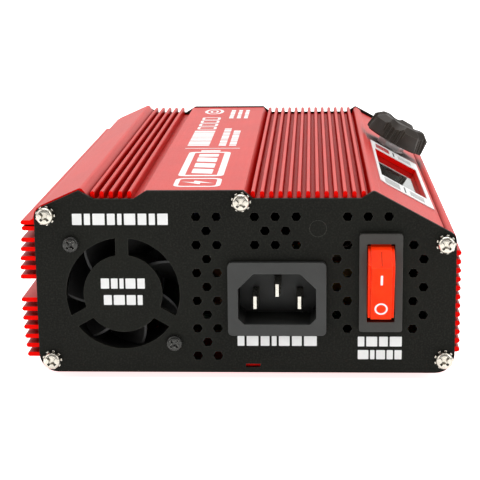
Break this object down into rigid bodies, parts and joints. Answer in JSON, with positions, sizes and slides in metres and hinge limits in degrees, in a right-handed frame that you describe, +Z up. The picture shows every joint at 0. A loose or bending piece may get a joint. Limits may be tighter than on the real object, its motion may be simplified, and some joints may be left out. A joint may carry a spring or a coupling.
{
  "type": "battery charger power supply",
  "caption": "Ribbed aluminium mains power supply for balance battery chargers, with an inlet, rocker switch, fan, sloping display panel with a knob, and output sockets.",
  "frame": {"origin": "centre of the object's bounding box, on the plane that its rubber feet stand on", "axes": "+Y along the case from the inlet end to the far end, +X towards the sloping control panel and the output sockets, +Z up"},
  "size_m": [0.1406, 0.2126, 0.0669],
  "materials": {
    "red_anodised": "red anodised, fine extrusion lines",
    "plate_black": "black powder coat with white print",
    "bright_steel": "zinc plated",
    "black_screw": "black oxide",
    "rubber": "matt",
    "fan_plastic": "glass-filled moulding",
    "inlet_grey": "fine moulded texture",
    "switch_black": "fine moulded texture",
    "rocker_red": "translucent moulding with white marks",
    "brass": "turned",
    "nickel": "nickel plated contacts",
    "copper": "enamelled or bare copper",
    "label_white": "printed film",
    "display_glass": "clear, glossy",
    "display_grey": "liquid crystal cell in a frame",
    "circuit_board": "solder mask",
    "knob_black": "soft satin moulding",
    "steel": "turned",
    "socket_red": "moulded insulator",
    "socket_black": "moulded insulator",
    "white_plastic": "moulded",
    "ferrite": "sintered",
    "film_yellow": "potted box",
    "can_sleeve": "shrink sleeve",
    "bare_aluminium": "extruded",
    "epoxy_black": "moulded package",
    "sheet_amber": "insulating film",
    "wire_brown": "insulated wire",
    "wire_green": "insulated wire",
    "wire_red": "insulated wire",
    "ribbon_grey": "flat cable"
  },
  "bodies": {
    "case": {"upper_shell": "red_anodised", "lower_shell": "red_anodised", "inlet_end_plate": "plate_black", "far_end_plate": "plate_black", "near_plate_screws": "bright_steel", "far_plate_screws": "bright_steel", "lock_washers": "bright_steel", "rubber_feet": "rubber", "fan_frame": "fan_plastic", "fan_stator": "copper", "fan_screws": "black_screw", "fan_nuts": "steel", "inlet_body": "inlet_grey", "inlet_pins": "nickel", "switch_housing": "switch_black", "switch_terminals": "brass", "earth_stud": "plate_black", "earth_nut": "steel", "earth_lug": "brass", "panel_label": "label_white", "display_glass": "display_glass", "display_module": "display_grey", "display_board": "circuit_board", "pot_body": "steel", "pot_nut": "steel", "socket_panel": "plate_black", "socket_panel_screws": "black_screw", "positive_sockets": "socket_red", "negative_sockets": "socket_black", "socket_contacts": "nickel", "socket_nuts": "steel", "usb_shell": "bright_steel", "usb_tongue": "white_plastic", "main_board": "circuit_board", "board_standoffs": "brass", "board_screws": "steel", "insulation_sheet": "sheet_amber", "transformer_core": "ferrite", "transformer_winding": "copper", "filter_choke": "copper", "filter_capacitors": "film_yellow", "bulk_capacitors": "can_sleeve", "output_capacitors": "can_sleeve", "output_inductor": "copper", "heat_sinks": "bare_aluminium", "power_transistors": "epoxy_black", "bridge_rectifier": "epoxy_black", "control_board": "circuit_board", "line_fuse": "steel", "mains_leads": "wire_brown", "earth_lead": "wire_green", "fan_lead": "wire_red", "output_leads": "wire_red", "display_ribbon": "ribbon_grey"},
    "fan_rotor": {"fan_rotor": "fan_plastic"},
    "rocker": {"switch_rocker": "rocker_red", "switch_plunger": "brass"},
    "contact_lever": {"switch_contact": "copper"},
    "knob": {"adjust_knob": "knob_black", "pot_shaft": "steel"}
  },
  "joints": [
    {"name": "fan_spin", "type": "hinge", "parent": "case", "child": "fan_rotor", "pos_m": [-0.03762, -0.08579, 0.02775], "axis": [0, 1, 0], "continuous": true},
    {"name": "switch_rock", "type": "hinge", "parent": "case", "child": "rocker", "pos_m": [0.04328, -0.09629, 0.03165], "axis": [-1, 0, 0], "range_deg": [0, 35]},
    {"name": "contact_tilt", "type": "hinge", "parent": "case", "child": "contact_lever", "pos_m": [0.04328, -0.08729, 0.03165], "axis": [1, 0, 0], "range_deg": [0, 16]},
    {"name": "knob_turn", "type": "hinge", "parent": "case", "child": "knob", "pos_m": [0.05262, 0.03571, 0.05283], "axis": [0.4848, 0, 0.8746], "range_deg": [-150, 150]}
  ],
  "couplings": [
    {"joint": "contact_tilt", "follows": "switch_rock", "ratio": 0.4571}
  ]
}
